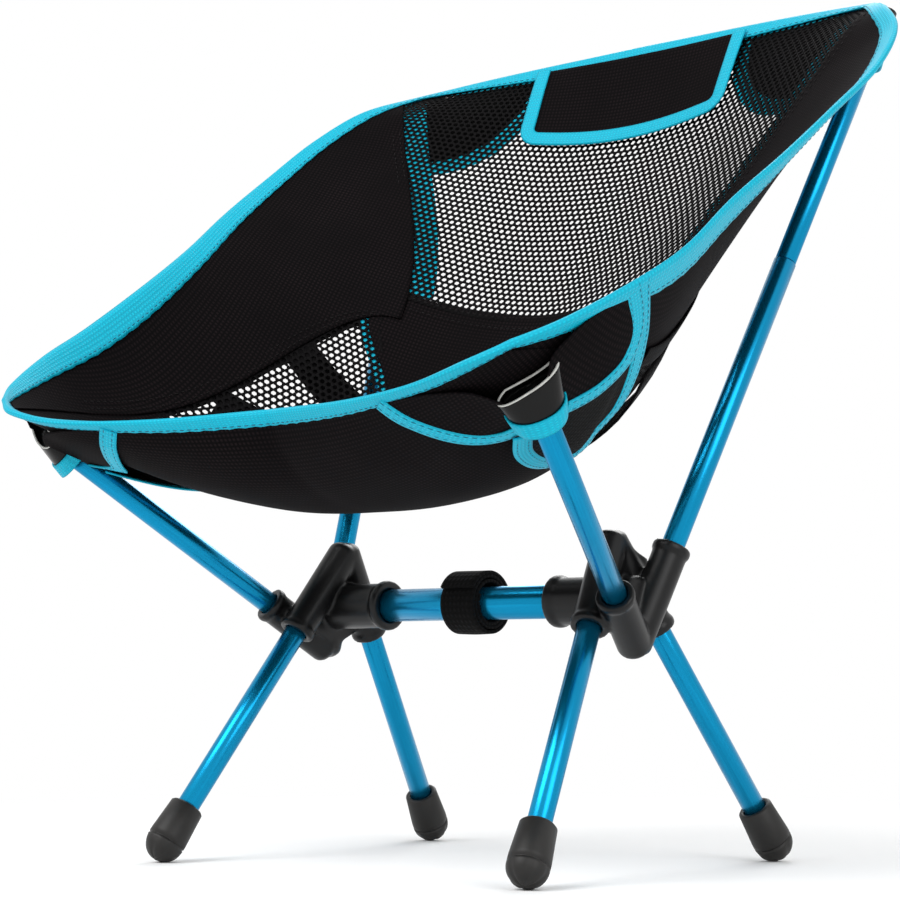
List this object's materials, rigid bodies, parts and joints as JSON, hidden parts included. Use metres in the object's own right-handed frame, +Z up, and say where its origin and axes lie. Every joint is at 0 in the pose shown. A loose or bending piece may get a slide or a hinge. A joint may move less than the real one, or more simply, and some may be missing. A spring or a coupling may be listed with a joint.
{
  "type": "ultralight backpacking chair",
  "caption": "Low packable camp chair: a bucket sling of mesh and woven panels with bound edges hangs on a shock-corded tube frame with moulded hubs and rubber feet.",
  "frame": {"origin": "on the floor under the centre of the chair's bounding box", "axes": "+Z up; the sitter faces -Y; X runs along the crossbar, with the sitter's left hand at +X"},
  "size_m": [0.3956, 0.3227, 0.4304],
  "materials": {
    "blue_anodised_aluminium": "bright blue anodised, drawn tube",
    "bare_aluminium": "bare, satin",
    "black_nylon": "moulded, satin",
    "black_rubber": "moulded, matt",
    "black_woven_polyester": "plain woven, matt",
    "black_mesh": "knitted open mesh",
    "cyan_binding_tape": "ribbed grosgrain tape, folded",
    "black_vinyl": "coated sheet, semi-gloss",
    "elastic_cord": "braided elastic cord",
    "black_webbing": "woven webbing"
  },
  "bodies": {
    "frame": {"crossbar_tube": "blue_anodised_aluminium", "crossbar_cord": "elastic_cord", "hub_right": "black_nylon", "front_leg_cord_right": "elastic_cord", "rear_leg_cord_right": "elastic_cord", "front_upright_tube_right": "blue_anodised_aluminium", "rear_upright_lower_tube_right": "blue_anodised_aluminium", "rear_upright_upper_tube_right": "blue_anodised_aluminium", "rear_upright_ferrule_right": "bare_aluminium", "front_tip_plug_right": "black_nylon", "front_upright_cord_right": "elastic_cord", "front_pocket_sleeve_right": "black_vinyl", "rear_tip_plug_right": "black_nylon", "rear_upright_cord_right": "elastic_cord", "rear_pocket_sleeve_right": "black_vinyl", "hub_left": "black_nylon", "front_leg_cord_left": "elastic_cord", "rear_leg_cord_left": "elastic_cord", "front_upright_tube_left": "blue_anodised_aluminium", "rear_upright_lower_tube_left": "blue_anodised_aluminium", "rear_upright_upper_tube_left": "blue_anodised_aluminium", "rear_upright_ferrule_left": "bare_aluminium", "front_tip_plug_left": "black_nylon", "front_upright_cord_left": "elastic_cord", "front_pocket_sleeve_left": "black_vinyl", "rear_tip_plug_left": "black_nylon", "rear_upright_cord_left": "elastic_cord", "rear_pocket_sleeve_left": "black_vinyl", "front_panel": "black_woven_polyester", "seat_mesh_panel": "black_mesh", "lumbar_band": "black_woven_polyester", "back_mesh_panel": "black_mesh", "rim_binding": "cyan_binding_tape", "label_panel": "black_woven_polyester", "label_binding": "cyan_binding_tape", "wing_right": "black_woven_polyester", "top_corner_patch_right": "black_mesh", "front_pocket_flap_right": "black_woven_polyester", "side_pocket_flap_right": "black_woven_polyester", "seat_strap_right": "black_webbing", "wing_left": "black_woven_polyester", "top_corner_patch_left": "black_mesh", "front_pocket_flap_left": "black_woven_polyester", "side_pocket_flap_left": "black_woven_polyester", "seat_strap_left": "black_webbing"},
    "front_leg_right": {"front_leg_tube_right": "blue_anodised_aluminium", "front_foot_right": "black_rubber"},
    "rear_leg_right": {"rear_leg_tube_right": "blue_anodised_aluminium", "rear_foot_right": "black_rubber"},
    "front_leg_left": {"front_leg_tube_left": "blue_anodised_aluminium", "front_foot_left": "black_rubber"},
    "rear_leg_left": {"rear_leg_tube_left": "blue_anodised_aluminium", "rear_foot_left": "black_rubber"},
    "strap": {"binding_strap": "black_webbing"}
  },
  "joints": [
    {"name": "front_leg_right_pull", "type": "slide", "parent": "frame", "child": "front_leg_right", "axis": [0.1556, -0.5571, -0.8157], "range_m": [0, 0.0235], "stiffness_N_per_m": 250, "springref_m": -0.02, "deforming": ["front_leg_cord_right"]},
    {"name": "rear_leg_right_pull", "type": "slide", "parent": "frame", "child": "rear_leg_right", "axis": [0.1437, 0.5581, -0.8172], "range_m": [0, 0.0235], "stiffness_N_per_m": 250, "springref_m": -0.02, "deforming": ["rear_leg_cord_right"]},
    {"name": "front_leg_left_pull", "type": "slide", "parent": "frame", "child": "front_leg_left", "axis": [-0.1556, -0.5571, -0.8157], "range_m": [0, 0.0235], "stiffness_N_per_m": 250, "springref_m": -0.02, "deforming": ["front_leg_cord_left"]},
    {"name": "rear_leg_left_pull", "type": "slide", "parent": "frame", "child": "rear_leg_left", "axis": [-0.1437, 0.5581, -0.8172], "range_m": [0, 0.0235], "stiffness_N_per_m": 250, "springref_m": -0.02, "deforming": ["rear_leg_cord_left"]},
    {"name": "strap_slide", "type": "slide", "parent": "frame", "child": "strap", "axis": [1, 0, 0], "range_m": [-0.044, 0.039]}
  ]
}
